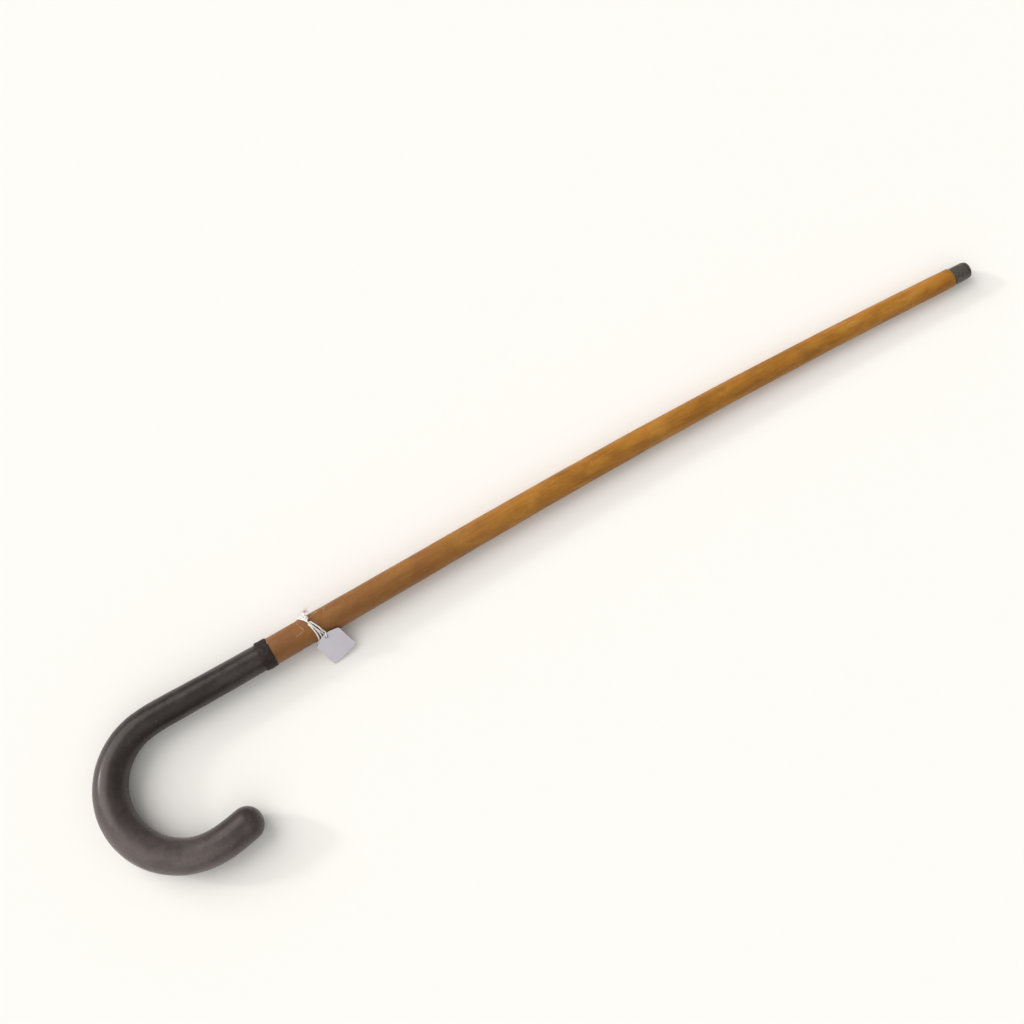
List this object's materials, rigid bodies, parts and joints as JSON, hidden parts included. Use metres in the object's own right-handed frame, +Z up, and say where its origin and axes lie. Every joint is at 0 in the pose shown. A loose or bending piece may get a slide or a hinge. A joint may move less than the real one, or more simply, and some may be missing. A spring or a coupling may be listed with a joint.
{
  "type": "crook-handled walking stick",
  "caption": "Tapered wooden walking stick with a leather-covered crook handle, a dull metal ferrule, and a blank paper tag with sloping shoulders on a cotton string loop.",
  "frame": {"origin": "middle of the lying stick's box, on the surface it lies on", "axes": "+X along the shaft towards the ferrule, +Z up from the surface, and the crook at -X curls towards -Y"},
  "size_m": [0.8664, 0.1434, 0.0294],
  "materials": {
    "varnished_wood": "mottled, varnished, satin",
    "bare_wood": "plain, unvarnished",
    "dark_leather": "satin, polished by handling",
    "collar_leather": "crinkled, worn, dull",
    "waxed_thread": "waxed",
    "ferrule_metal": "aged, dull",
    "tip_steel": "worn, dull",
    "cotton_string": "matt, soft-twisted",
    "tag_paper": "matt"
  },
  "bodies": {
    "stick": {"shaft": "varnished_wood", "handle_core": "bare_wood", "joint_dowel": "bare_wood", "leather_cover": "dark_leather", "nose_patch": "dark_leather", "collar_band": "collar_leather", "seam_thread": "waxed_thread", "ferrule": "ferrule_metal", "ferrule_tip": "tip_steel", "ferrule_pin": "tip_steel"},
    "tag": {"string_loop": "cotton_string", "string_knot": "cotton_string", "tag_string": "cotton_string", "tag_card": "tag_paper"}
  },
  "joints": [
    {"name": "string_turn", "type": "hinge", "parent": "stick", "child": "tag", "pos_m": [-0.22183, 0.05611, 0.01294], "axis": [-0.9998, -0.0186, 0.0069], "continuous": true}
  ]
}
